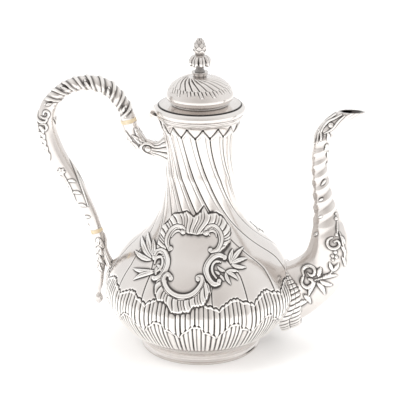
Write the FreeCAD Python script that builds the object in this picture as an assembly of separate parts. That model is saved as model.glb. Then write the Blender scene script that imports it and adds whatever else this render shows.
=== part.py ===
import FreeCAD, Part
import math
import os

# Silver coffee pot with a hinged lid, a hollow spout and an insulated handle.
# Millimetres. The origin is the centre of the foot's underside, +Z is up, the spout
# points to +X, and the handle and the lid's hinge are on -X.

V = FreeCAD.Vector

# Driving dimensions
WALL = 1.0                  # raised silver sheet
FOOT_R = 51.7               # foot ring, outside at the table
FOOT_H = 8.0
FOOT_TOP_R = 52.0
BULB_R = 83.1
NECK_R = 28.7
RIM_R = 36.3                # flared mouth of the neck
RIM_Z = 206.9               # joint between the body and the lid
MOUTH_R = 34.0              # clear opening at the mouth
BAND_R = 37.7               # lid's convex moulding
BAND_TOP_R = 34.0
BAND_TOP_Z = 213.6
FLANGE_T = 0.9
DOME_R = 27.6
DOME_Z = 220.4
DOME_TOP_Z = 237.4
FINIAL_TOP_Z = 269.5
SEAT_R = 5.6                # flat seat of the finial on the dome

HINGE_X = -39.9
HINGE_Z = 204.2
BARREL_R = 2.4
PIN_R = 0.9
HINGE_CLEARANCE = 0.05
KNUCKLE_HALF = 4.0          # half length of the lid's knuckle
HINGE_HALF = 9.0            # half length of the whole hinge

STUD_R = 1.4
SLIP = 0.05                 # sliding gap between parts that slip together

GRIP_WALL = 1.2
INSULATOR_HALF = 1.7
TENON_LENGTH = 6.0
RIVET_R = 0.8

MOUTH_CUT_Z = 211.6         # the spout's lip is cut level at this height


def spline_edge(points):
    """A smooth edge in the XZ plane through (x, z) points."""
    curve = Part.BSplineCurve()
    curve.interpolate([V(x, 0, z) for x, z in points])
    return curve.toShape()


def line_edges(points):
    """Straight edges in the XZ plane that join (x, z) points in order."""
    corners = [V(x, 0, z) for x, z in points]
    return [Part.makeLine(a, b) for a, b in zip(corners, corners[1:])]


def turned(edges):
    """A solid turned about Z from one closed outline, with its seam on +Y."""
    wire = Part.Wire(Part.__sortEdges__(edges))
    solid = Part.Face(wire).revolve(V(0, 0, 0), V(0, 0, 1), 360)
    solid.rotate(V(0, 0, 0), V(0, 0, 1), 90)
    return solid


def turned_polygon(points):
    return turned(line_edges(points + points[:1]))


def arc_edges(points):
    """Circular arcs in the XZ plane, each through three of the (x, z) points in order."""
    at = [V(x, 0, z) for x, z in points]
    return [Part.Arc(at[i], at[i + 1], at[i + 2]).toShape() for i in range(0, len(at) - 2, 2)]


def tangent_on(edge, x, z):
    return edge.tangentAt(edge.Curve.parameter(V(x, 0, z)))


def moved_inwards(x, z, tangent, depth):
    return (x - depth * tangent.z, z + depth * tangent.x)


def inset_arcs(points, depth):
    """The points of an outline of arcs moved towards the axis by a depth."""
    arcs = arc_edges(points)
    moved = []
    for i, (x, z) in enumerate(points):
        tangent = tangent_on(arcs[min(i // 2, len(arcs) - 1)], x, z)
        if i % 2 == 0 and 0 < i < len(points) - 1:
            tangent = (tangent + tangent_on(arcs[i // 2 - 1], x, z)).normalize()
        moved.append(moved_inwards(x, z, tangent, depth))
    return moved


def inset(points, depth):
    """The points of a smooth outline moved towards the axis by a depth."""
    edge = spline_edge(points)
    return [moved_inwards(x, z, tangent_on(edge, x, z), depth) for x, z in points]


def tube_along(points, radii, flatten=None):
    """A solid with round sections along a smooth path in the XZ plane.

    flatten gives the ratio of the width along Y to the height in the plane.
    """
    path = spline_edge(points)
    ratios = flatten or [1.0] * len(points)
    sections = []
    for (x, z), radius, ratio in zip(points, radii, ratios):
        tangent = path.tangentAt(path.Curve.parameter(V(x, 0, z)))
        normal = V(-tangent.z, 0, tangent.x)
        ring = Part.BSplineCurve()
        steps = [math.radians(30 * i) for i in range(12)]
        ring.interpolate(
            [V(x, 0, z) + normal * (radius * math.cos(a)) + V(0, radius * ratio * math.sin(a), 0)
             for a in steps],
            PeriodicFlag=True,
        )
        sections.append(Part.Wire(ring.toShape()))
    return Part.makeLoft(sections, True, False)


def rod(start, end, radius):
    return Part.makeCylinder(radius, (end - start).Length, start, end - start)


def y_rod(x, z, radius, half_length):
    return Part.makeCylinder(radius, 2 * half_length, V(x, -half_length, z), V(0, 1, 0))


# Body outline from the foot to the mouth, as arcs through every three points
BODY_OUTLINE = [
    (FOOT_TOP_R, FOOT_H), (68.0, 23.6), (79.8, 39.8), (BULB_R, 51.0), (80.6, 63.6),
    (72.5, 78.0), (58.6, 92.6), (42.6, 108.0), (34.4, 121.0), (30.6, 132.0),
    (NECK_R, 156.0), (30.2, 188.0), (RIM_R - 0.6, RIM_Z - 1.2),
]


def body_envelope():
    """The body's outer surface as one solid, used to seat what is soldered to it."""
    top_r, top_z = BODY_OUTLINE[-1]
    edges = arc_edges(BODY_OUTLINE)
    edges += line_edges([(top_r, top_z), (0, top_z), (0, FOOT_H), (FOOT_TOP_R, FOOT_H)])
    return turned(edges)


STRAINER_HOLE_R = 1.4
STRAINER_PITCH = 5.5
STRAINER_Z = 50.0


def strainer_holes():
    """Holes in the body's wall behind the spout, in a hexagonal patch."""
    holes = []
    for row in range(-3, 4):
        count = 7 - abs(row)
        for i in range(count):
            y = (i - (count - 1) / 2) * STRAINER_PITCH
            z = STRAINER_Z + row * STRAINER_PITCH * math.sin(math.radians(60))
            holes.append(Part.makeCylinder(STRAINER_HOLE_R, 20.0, V(70, y, z), V(1, 0, 0)))
    return holes


def body_shell():
    inner = inset_arcs(BODY_OUTLINE, WALL)
    edges = arc_edges(BODY_OUTLINE) + arc_edges(inner)
    edges += line_edges([BODY_OUTLINE[0], inner[0]])
    edges += line_edges([BODY_OUTLINE[-1], inner[-1]])
    return turned(edges).cut(strainer_holes())


def mouth_rim():
    """Wire that stiffens the mouth, soldered on the neck's top edge."""
    seat_r, seat_z = BODY_OUTLINE[-1]
    inner_r, inner_z = inset_arcs(BODY_OUTLINE, WALL)[-1]
    return turned_polygon([
        (inner_r, inner_z), (seat_r, seat_z), (RIM_R, RIM_Z - 0.8), (RIM_R, RIM_Z),
        (MOUTH_R, RIM_Z), (MOUTH_R, RIM_Z - 1.0),
    ])


def foot_ring():
    edges = line_edges([
        (FOOT_R - 3.2, 0), (FOOT_R, 0), (FOOT_R, 1.4), (FOOT_R - 0.9, 2.2),
    ])
    edges.append(spline_edge([(FOOT_R - 0.9, 2.2), (FOOT_R - 1.9, 4.6), (FOOT_R - 1.4, 6.6)]))
    edges += line_edges([
        (FOOT_R - 1.4, 6.6), (FOOT_TOP_R, 7.0), (FOOT_TOP_R, FOOT_H), (46.5, FOOT_H),
        (46.5, 6.8), (FOOT_R - 3.2, 5.0), (FOOT_R - 3.2, 0),
    ])
    return turned(edges)


def base_plate():
    """Disc let into the bottom of the body, resting on the foot ring."""
    return Part.makeCylinder(50.4, 1.2, V(0, 0, FOOT_H))


# Spout: centre line, half heights in the plane of the handle, width to height ratios
SPOUT_PATH = [
    (66.0, 47.5), (77.0, 50.0), (89.0, 56.5), (100.5, 67.0), (108.2, 81.5), (109.6, 99.0),
    (106.8, 116.5), (103.7, 132.8), (101.2, 148.0), (99.6, 160.0), (99.2, 170.5),
    (100.3, 181.0), (103.6, 191.6), (109.4, 199.6), (117.0, 206.2), (127.0, 213.2),
    (135.0, 218.6),
]
SPOUT_HALF = [31.5, 28.0, 24.5, 22.2, 20.0, 16.8, 12.2, 9.3, 7.9, 7.2, 7.0, 7.1, 7.0,
              6.9, 6.6, 6.3, 6.0]
SPOUT_RATIO = [0.62, 0.66, 0.72, 0.78, 0.84, 0.9, 0.95] + [1.0] * 10
SPOUT_WALL = 1.2


def spout_solid(grow):
    halves = [half + grow for half in SPOUT_HALF]
    return tube_along(SPOUT_PATH, halves, SPOUT_RATIO)


def spout_tube(envelope):
    tube = spout_solid(0).cut(spout_solid(-SPOUT_WALL))
    above_lip = Part.makeBox(60, 60, 40, V(100, -30, MOUTH_CUT_Z))
    return tube.cut(above_lip).cut(envelope)


COLLAR_X = 86.5


def spout_collar(envelope):
    """Reeded collar that covers the joint between the spout and the body."""
    band = tube_along(
        [(66.0, 47.5), (77.0, 50.0), (85.0, 53.6), (92.0, 58.8)],
        [34.5, 31.6, 28.6, 25.4], [0.66, 0.7, 0.74, 0.78],
    )
    beyond = Part.makeBox(60, 120, 120, V(COLLAR_X, -60, -10))
    beyond.rotate(V(COLLAR_X, 0, 52), V(0, 1, 0), -20)
    return band.cut(beyond).cut(spout_solid(0)).cut(envelope)


UPPER_INSULATOR = V(-60.2, 0, 197.9)
UPPER_AXIS = V(-0.27, 0, 0.963).normalize()
UPPER_INSULATOR_R = 6.8
LOWER_INSULATOR = V(-90.4, 0, 98.2)
LOWER_AXIS = V(0.28, 0, -0.96).normalize()
LOWER_INSULATOR_R = 5.4

GRIP_BENDS = [
    (-67.6, 215.4), (-77.2, 225.2), (-90.4, 229.2), (-104.6, 227.6), (-117.6, 220.4),
    (-127.0, 208.6), (-130.4, 194.0), (-127.8, 178.6), (-119.2, 159.2), (-110.6, 144.6),
    (-101.4, 126.8),
]
GRIP_RADII = [7.1, 7.3, 7.0, 6.7, 6.7, 7.2, 7.9, 8.1, 7.8, 7.2, 6.2]


def insulator_face(centre, axis, side):
    return centre + axis * (INSULATOR_HALF * side)


def insulator_slab(centre, axis):
    """Room for an insulator's disc, which its neighbours are trimmed to."""
    return rod(insulator_face(centre, axis, -1), insulator_face(centre, axis, 1), 14.0)


def grip_path():
    start = UPPER_INSULATOR
    end = LOWER_INSULATOR
    before = end - LOWER_AXIS * 10.7
    after = start + UPPER_AXIS * 9.7
    return ([(start.x, start.z), (after.x, after.z)] + GRIP_BENDS
            + [(before.x, before.z), (end.x, end.z)])


def grip_solid(shrink):
    radii = [UPPER_INSULATOR_R, 6.9] + GRIP_RADII + [5.5, LOWER_INSULATOR_R]
    return tube_along(grip_path(), [r - shrink for r in radii])


def rivet_centres(centre, axis):
    offset = INSULATOR_HALF + TENON_LENGTH / 2
    return [centre + axis * offset, centre - axis * offset]


def rivets(centre, axis, radius, half_length):
    rods = [y_rod(c.x, c.z, radius, half_length) for c in rivet_centres(centre, axis)]
    return Part.makeCompound(rods)


def insulator(centre, axis, radius):
    """Ivory disc between two silver parts, with a tenon into each of them."""
    disc = rod(insulator_face(centre, axis, -1), insulator_face(centre, axis, 1), radius)
    reach = axis * (INSULATOR_HALF + TENON_LENGTH)
    tenon = rod(centre - reach, centre + reach, tenon_radius(radius))
    return disc.fuse(tenon).removeSplitter().cut(rivets(centre, axis, RIVET_R, 10.0))


def tenon_radius(radius):
    return radius - GRIP_WALL - 0.6


def tenon_bore(centre, axis, radius, side):
    start = insulator_face(centre, axis, side) - axis * side
    return rod(start, start + axis * (side * (TENON_LENGTH + 1.3)), tenon_radius(radius) + SLIP)


def handle_grip():
    """Hollow cast grip, solid for a short way at both ends where the tenons enter."""
    grip = grip_solid(0)
    hollow = grip_solid(GRIP_WALL)
    keep = 9.0
    for centre, axis, side in ((UPPER_INSULATOR, UPPER_AXIS, 1), (LOWER_INSULATOR, LOWER_AXIS, -1)):
        start = insulator_face(centre, axis, side)
        hollow = hollow.cut(rod(start - axis * (4 * side), start + axis * (side * keep), 12.0))
    grip = grip.cut(hollow)
    for centre, axis, radius, side in (
        (UPPER_INSULATOR, UPPER_AXIS, UPPER_INSULATOR_R, 1),
        (LOWER_INSULATOR, LOWER_AXIS, LOWER_INSULATOR_R, -1),
    ):
        grip = grip.cut(tenon_bore(centre, axis, radius, side))
        grip = grip.cut(rivets(centre, axis, RIVET_R, 10.0)).cut(insulator_slab(centre, axis))
    return grip


def upper_socket(envelope):
    """Branch from the neck to the upper insulator, flared where it is soldered on."""
    end = UPPER_INSULATOR
    before = end - UPPER_AXIS * 6.7
    arm = tube_along(
        [(-24.0, 173.6), (-29.5, 173.6), (-34.5, 173.3), (-40.0, 174.0), (-47.5, 176.8),
         (-53.6, 182.6), (before.x, before.z), (end.x, end.z)],
        [15.0, 11.6, 7.4, 6.0, 5.8, 6.0, 6.4, 6.8],
        [0.8, 0.82, 0.9, 1.0, 1.0, 1.0, 1.0, 1.0],
    )
    arm = arm.cut(insulator_slab(UPPER_INSULATOR, UPPER_AXIS))
    arm = arm.cut(tenon_bore(UPPER_INSULATOR, UPPER_AXIS, UPPER_INSULATOR_R, -1))
    return arm.cut(rivets(UPPER_INSULATOR, UPPER_AXIS, RIVET_R, 10.0)).cut(envelope)


def lower_socket(envelope):
    """Socket below the lower insulator: a stay soldered to the bulb and a free tail."""
    start = LOWER_INSULATOR
    after = start + LOWER_AXIS * 8.7
    tail = tube_along(
        [(start.x, start.z), (after.x, after.z), (-87.4, 78.0), (-87.1, 67.0), (-88.2, 56.0),
         (-89.3, 44.0), (-90.0, 36.0)],
        [LOWER_INSULATOR_R, 5.3, 4.4, 3.8, 3.1, 2.1, 2.1],
    )
    stay = tube_along(
        [(-86.4, 88.0), (-83.4, 77.0), (-79.0, 66.0)],
        [3.0, 3.0, 3.8],
    )
    bud = Part.makeSphere(3.6, V(0, 0, 0))
    stretch = FreeCAD.Matrix()
    stretch.scale(1, 1, 1.5)
    bud = bud.transformGeometry(stretch)
    bud.translate(V(-90.2, 0, 34.4))
    socket = tail.fuse(stay).fuse(bud).removeSplitter()
    socket = socket.cut(insulator_slab(LOWER_INSULATOR, LOWER_AXIS))
    socket = socket.cut(tenon_bore(LOWER_INSULATOR, LOWER_AXIS, LOWER_INSULATOR_R, 1))
    return socket.cut(rivets(LOWER_INSULATOR, LOWER_AXIS, RIVET_R, 10.0)).cut(envelope)


def rivet_pair(centre, axis, radius):
    """Two silver rivets, trimmed flush with the round parts that they pin."""
    pair = []
    for c, reach in zip(rivet_centres(centre, axis), radius):
        pair.append(y_rod(c.x, c.z, RIVET_R, reach))
    return Part.makeCompound(pair)


def lid_band():
    """Convex moulding around the lid, hollow inside, closed by the dome's flange."""
    curve = [(RIM_R, RIM_Z), (BAND_R, RIM_Z + 3.2), (BAND_TOP_R, BAND_TOP_Z)]
    edges = [spline_edge(curve)]
    edges += line_edges([
        curve[-1], (BAND_TOP_R - 2.4, BAND_TOP_Z), (BAND_TOP_R - 2.4, RIM_Z),
        (RIM_R, RIM_Z),
    ])
    return turned(edges)


BEZEL_R = 33.0
BEZEL_DEPTH = 3.2


def lid_bezel():
    """Sleeve under the lid that centres it in the mouth."""
    return turned_polygon([
        (BEZEL_R - 1.4, RIM_Z - BEZEL_DEPTH), (BEZEL_R - 0.6, RIM_Z - BEZEL_DEPTH),
        (BEZEL_R, RIM_Z), (BEZEL_R - 1.4, RIM_Z),
    ])


FLANGE_R = 34.2
WAIST_R = 22.6


def lid_dome():
    """Raised lid: a flat flange, a waist and a dome with a flat seat for the finial."""
    waist_z = BAND_TOP_Z + FLANGE_T
    outer = [
        (WAIST_R, waist_z + 0.9), (DOME_R - 1.6, waist_z + 3.1), (DOME_R, DOME_Z),
        (25.9, 226.8), (21.6, 231.8), (15.2, 235.7), (SEAT_R, DOME_TOP_Z),
    ]
    inner = inset(outer, FLANGE_T)
    inner[-1] = (SEAT_R, DOME_TOP_Z - FLANGE_T)
    inner[0] = (WAIST_R - FLANGE_T, waist_z + 0.9)
    bore = STUD_R + SLIP
    edges = [spline_edge(outer), spline_edge(inner)]
    edges += line_edges([outer[-1], (bore, DOME_TOP_Z), (bore, DOME_TOP_Z - FLANGE_T), inner[-1]])
    edges += line_edges([
        outer[0], (WAIST_R + 1.0, waist_z), (FLANGE_R, waist_z), (FLANGE_R, BAND_TOP_Z),
        (WAIST_R - FLANGE_T, BAND_TOP_Z), inner[0],
    ])
    return turned(edges)


def finial_base():
    """Leafy foot of the finial under a thin round plate."""
    bore = STUD_R + SLIP
    return turned_polygon([
        (bore, DOME_TOP_Z), (4.9, DOME_TOP_Z), (5.4, 238.6), (6.2, 240.5), (6.8, 240.7),
        (6.8, 241.5), (bore, 241.5),
    ])


def finial_stem():
    bore = STUD_R + SLIP
    edges = line_edges([(bore, 241.5), (4.1, 241.5)])
    edges.append(spline_edge([(4.1, 241.5), (3.4, 243.6), (2.7, 245.2), (2.9, 247.6)]))
    edges += line_edges([(2.9, 247.6), (bore, 247.6), (bore, 241.5)])
    return turned(edges)


def finial_calyx():
    """Ring of leaves that droop from the top of the stem."""
    bore = STUD_R + SLIP
    edges = line_edges([(bore, 247.6), (3.6, 247.6)])
    edges.append(spline_edge([(3.6, 247.6), (6.4, 247.4), (8.6, 248.4), (8.4, 251.6),
                              (6.2, 254.4), (3.4, 255.6)]))
    edges += line_edges([(3.4, 255.6), (bore, 255.6), (bore, 247.6)])
    return turned(edges)


def finial_bud():
    """Closed bud on top, screwed down on the stud."""
    bore = STUD_R + SLIP
    edges = [spline_edge([(3.3, 255.6), (4.5, 259.2), (3.9, 263.0), (2.2, 267.4), (0, FINIAL_TOP_Z)])]
    edges += line_edges([
        (0, FINIAL_TOP_Z), (0, 259.6), (bore, 259.6), (bore, 255.6), (3.3, 255.6),
    ])
    return turned(edges)


def finial_stud():
    return Part.makeCylinder(STUD_R, 27.2, V(0, 0, 232.2))


def finial_washer():
    top = DOME_TOP_Z - FLANGE_T
    return turned_polygon([(STUD_R + SLIP, top - 0.7), (4.2, top - 0.7), (4.2, top), (STUD_R + SLIP, top)])


def finial_nut():
    top = DOME_TOP_Z - FLANGE_T - 0.7
    corners = [V(3.1 * math.cos(math.radians(60 * i)), 3.1 * math.sin(math.radians(60 * i)), top - 2.4)
               for i in range(7)]
    block = Part.Face(Part.makePolygon(corners)).extrude(V(0, 0, 2.4))
    return block.cut(Part.makeCylinder(STUD_R + SLIP, 10, V(0, 0, top - 6)))


def xz_prism(points, half_length):
    corners = [V(x, -half_length, z) for x, z in points + points[:1]]
    return Part.Face(Part.makePolygon(corners)).extrude(V(0, 2 * half_length, 0))


def hinge_body_leaf(envelope):
    """Bracket on the neck with the two outer knuckles."""
    leaf = xz_prism([(-41.0, 202.2), (-38.2, 205.6), (-34.6, 204.6), (-30.6, 196.8)], HINGE_HALF)
    gap = KNUCKLE_HALF + 0.1
    leaf = leaf.cut(y_rod(HINGE_X, HINGE_Z, BARREL_R + 0.15, gap))
    for side in (-1, 1):
        start = V(HINGE_X, side * gap, HINGE_Z)
        leaf = leaf.fuse(rod(start, V(HINGE_X, side * HINGE_HALF, HINGE_Z), BARREL_R))
    leaf = leaf.cut(y_rod(HINGE_X, HINGE_Z, PIN_R, HINGE_HALF + 1))
    return leaf.cut(envelope).removeSplitter()


def hinge_lid_leaf(band):
    """Middle knuckle with a leaf that is soldered to the lid's moulding."""
    leaf = xz_prism([(-39.9, 204.2), (-41.2, 206.2), (-38.4, 211.4), (-36.4, 211.4),
                     (-36.2, 207.0), (-38.2, 205.6)], KNUCKLE_HALF)
    leaf = leaf.fuse(y_rod(HINGE_X, HINGE_Z, BARREL_R, KNUCKLE_HALF))
    leaf = leaf.cut(band)
    leaf = leaf.cut(Part.makeCylinder(BAND_TOP_R + 2, 20, V(0, 0, RIM_Z - 10)))
    bore = y_rod(HINGE_X, HINGE_Z, PIN_R + HINGE_CLEARANCE, HINGE_HALF)
    return leaf.cut(bore).removeSplitter()


def hinge_pin():
    return y_rod(HINGE_X, HINGE_Z, PIN_R, HINGE_HALF + 0.3)


def main():
    envelope = body_envelope()
    band = lid_band()
    parts = {
        "body_shell": body_shell(),
        "mouth_rim": mouth_rim(),
        "foot_ring": foot_ring(),
        "base_plate": base_plate(),
        "spout_tube": spout_tube(envelope),
        "spout_collar": spout_collar(envelope),
        "handle_upper_socket": upper_socket(envelope),
        "handle_upper_insulator": insulator(UPPER_INSULATOR, UPPER_AXIS, UPPER_INSULATOR_R),
        "handle_upper_rivets": rivet_pair(UPPER_INSULATOR, UPPER_AXIS, (6.7, 6.4)),
        "handle_grip": handle_grip(),
        "handle_lower_insulator": insulator(LOWER_INSULATOR, LOWER_AXIS, LOWER_INSULATOR_R),
        "handle_lower_rivets": rivet_pair(LOWER_INSULATOR, LOWER_AXIS, (5.2, 5.3)),
        "handle_lower_socket": lower_socket(envelope),
        "lid_dome": lid_dome(),
        "lid_band": band,
        "lid_bezel": lid_bezel(),
        "finial_base": finial_base(),
        "finial_stem": finial_stem(),
        "finial_calyx": finial_calyx(),
        "finial_bud": finial_bud(),
        "finial_stud": finial_stud(),
        "finial_washer": finial_washer(),
        "finial_nut": finial_nut(),
        "hinge_body_leaf": hinge_body_leaf(envelope),
        "hinge_lid_leaf": hinge_lid_leaf(band),
        "hinge_pin": hinge_pin(),
    }
    os.makedirs("parts", exist_ok=True)
    for name, shape in parts.items():
        box = shape.BoundBox
        print(name, "solids", len(shape.Solids), "valid", shape.isValid(), "volume", round(shape.Volume),
              "box", [round(v, 1) for v in (box.XMin, box.YMin, box.ZMin, box.XMax, box.YMax, box.ZMax)])
        shape.exportStep(f"parts/{name}.step")


main()
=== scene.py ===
import math

import bpy
import numpy as np
from mathutils import Matrix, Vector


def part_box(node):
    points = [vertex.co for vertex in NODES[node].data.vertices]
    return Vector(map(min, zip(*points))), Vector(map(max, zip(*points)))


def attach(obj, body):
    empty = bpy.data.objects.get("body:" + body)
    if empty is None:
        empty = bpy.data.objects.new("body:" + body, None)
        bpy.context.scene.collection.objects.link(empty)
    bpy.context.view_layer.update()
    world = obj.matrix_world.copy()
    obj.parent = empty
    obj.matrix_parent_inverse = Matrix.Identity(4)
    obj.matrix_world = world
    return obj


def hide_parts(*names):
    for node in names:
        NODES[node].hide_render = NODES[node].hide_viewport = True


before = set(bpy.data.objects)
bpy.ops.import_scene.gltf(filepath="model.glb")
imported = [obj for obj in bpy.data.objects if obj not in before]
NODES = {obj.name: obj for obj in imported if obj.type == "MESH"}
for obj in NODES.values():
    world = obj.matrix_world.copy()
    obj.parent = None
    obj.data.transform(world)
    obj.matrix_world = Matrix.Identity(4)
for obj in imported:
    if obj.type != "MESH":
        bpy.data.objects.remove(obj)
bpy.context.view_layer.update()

# Chased silver coffee pot: relief work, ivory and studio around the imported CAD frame.
# Lengths are millimetres, except in the studio. Angles round the body are degrees from -Y to +X.

MM = 0.001
LOBES = 16  # flutes, scallops and leaves round the body
LOBE = 360.0 / LOBES


# Curves and grids

def ease(low, high, x):
    """Smooth rise from 0 at low to 1 at high."""
    t = np.clip((x - low) / (high - low), 0, 1)
    return t * t * (3 - 2 * t)


def shares(count):
    """Evenly spaced fractions from 0 to 1."""
    return np.linspace(0, 1, count)


def bell(distance, width):
    return np.exp(-(distance / width) ** 2)


def arch(fraction, power):
    """A row of rounded ridges, one per unit, that meet in sharp grooves."""
    f = fraction - np.floor(fraction)
    return (4 * f * (1 - f)) ** power


def spline(points, at):
    """Natural cubic spline through rows of numbers, read at fractions of its length.

    The first two columns are a position, and the others follow along with it.
    """
    p = np.asarray(points, float)
    steps = np.linalg.norm(np.diff(p[:, :2], axis=0), axis=1)
    knots = np.concatenate([[0], np.cumsum(steps)]) / steps.sum()
    h = np.diff(knots)
    system = np.eye(len(p))
    bends = np.zeros_like(p)
    for i in range(1, len(p) - 1):
        system[i, i - 1:i + 2] = h[i - 1], 2 * (h[i - 1] + h[i]), h[i]
        bends[i] = 6 * ((p[i + 1] - p[i]) / h[i] - (p[i] - p[i - 1]) / h[i - 1])
    bends = np.linalg.solve(system, bends)
    at = np.asarray(at, float)
    k = np.clip(np.searchsorted(knots, at) - 1, 0, len(p) - 2)
    width = h[k][:, None]
    t = at[:, None] - knots[k][:, None]
    r = width - t
    return ((bends[k] * r ** 3 + bends[k + 1] * t ** 3) / (6 * width)
            + (p[k] / width - bends[k] * width / 6) * r
            + (p[k + 1] / width - bends[k + 1] * width / 6) * t)


def along(points):
    """Distance along a polyline at each of its points."""
    steps = np.linalg.norm(np.diff(points, axis=0), axis=1)
    return np.concatenate([[0], np.cumsum(steps)])


def direction(line):
    """Unit steps along a polyline, one at each of its points."""
    step = np.gradient(line, axis=0)
    return step / (np.linalg.norm(step, axis=1)[:, None] + 1e-12)


def around(radius, angle, z):
    """Points at a radius and height, at an angle in radians from -Y towards +X."""
    x = radius * np.sin(angle)
    return np.stack([x, -radius * np.cos(angle), z + 0 * x], axis=-1)


def resampled(points, count):
    """The same polyline with evenly spaced points."""
    s = along(points)
    at = np.linspace(0, s[-1], count)
    return np.column_stack([np.interp(at, s, points[:, i]) for i in range(points.shape[1])])


def turned_outline(node, inside=False):
    """(radius, z) of a turned CAD node's outer or inner wall, from bottom to top."""
    mesh = NODES[node].data
    co = np.empty(len(mesh.vertices) * 3, np.float32)
    mesh.vertices.foreach_get("co", co)
    co = co.reshape(-1, 3) / MM
    corners = np.empty(len(mesh.loops), np.int32)
    mesh.loops.foreach_get("vertex_index", corners)
    normals = np.empty(len(mesh.polygons) * 3, np.float32)
    mesh.polygons.foreach_get("normal", normals)
    triangles = corners.reshape(-1, 3)
    middle = co[triangles].mean(axis=1)
    facing = np.einsum("ij,ij->i", normals.reshape(-1, 3)[:, :2], middle[:, :2])
    facing /= np.hypot(middle[:, 0], middle[:, 1]) + 1e-9
    wall = (facing < -0.15) if inside else (facing > 0.15)
    points = co[np.unique(triangles[wall & (middle[:, 0] < 0)])]
    level = np.round(points[:, 2], 1)
    radius = np.hypot(points[:, 0], points[:, 1])
    return np.array([(radius[level == z].mean(), points[level == z, 2].mean()) for z in np.unique(level)])


def blurred(height, reach):
    """Heights smoothed over a few grid steps, round the columns and along the rows."""
    weights = bell(np.arange(-3 * reach, 3 * reach + 1), reach * 1.2)
    weights /= weights.sum()
    out = sum(w * np.roll(height, k - 3 * reach, axis=1) for k, w in enumerate(weights))
    padded = np.pad(out, ((3 * reach, 3 * reach), (0, 0)), mode="edge")
    return sum(w * padded[k:k + len(height)] for k, w in enumerate(weights))


def grid_part(rows, tone):
    """Quads over rows of points, closed round each row and from the last row to the first."""
    n, m = rows.shape[:2]
    index = np.arange(n * m).reshape(n, m)
    above = np.roll(index, -1, axis=0)
    quads = np.stack([index, np.roll(index, -1, axis=1), np.roll(above, -1, axis=1), above], axis=-1)
    return rows.reshape(-1, 3), quads.reshape(-1, 4), np.asarray(tone, float).reshape(-1)


def show(name, data):
    """A new object in the scene."""
    shown = bpy.data.objects.new(name, data)
    bpy.context.scene.collection.objects.link(shown)
    return shown


def piece(name, parts, body, node):
    """A silver object from grid parts, in place of a CAD node, with its tone on its points."""
    points = []
    quads = []
    tones = []
    start = 0
    for part_points, part_quads, part_tone in parts:
        points.append(part_points)
        quads.append(part_quads + start)
        tones.append(part_tone)
        start += len(part_points)
    points = np.concatenate(points) * MM
    quads = np.concatenate(quads)
    corners = points[quads]
    across = np.cross(corners[:, 2] - corners[:, 0], corners[:, 3] - corners[:, 1])
    if np.einsum("ij,ij->", across, corners.mean(axis=1)) < 0:
        quads = quads[:, ::-1]
    mesh = bpy.data.meshes.new(name)
    mesh.vertices.add(len(points))
    mesh.vertices.foreach_set("co", points.astype(np.float32).ravel())
    mesh.loops.add(quads.size)
    mesh.loops.foreach_set("vertex_index", quads.astype(np.int32).ravel())
    mesh.polygons.add(len(quads))
    mesh.polygons.foreach_set("loop_start", np.arange(0, quads.size, 4, dtype=np.int32))
    mesh.update(calc_edges=True)
    mesh.shade_smooth()
    tone = mesh.attributes.new("relief", "FLOAT", "POINT")
    tone.data.foreach_set("value", np.concatenate(tones).astype(np.float32))
    mesh.materials.append(SILVER)
    shown = show(name, mesh)
    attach(shown, body)
    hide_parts(node)


# Chased ornament on a drawing plane

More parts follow.
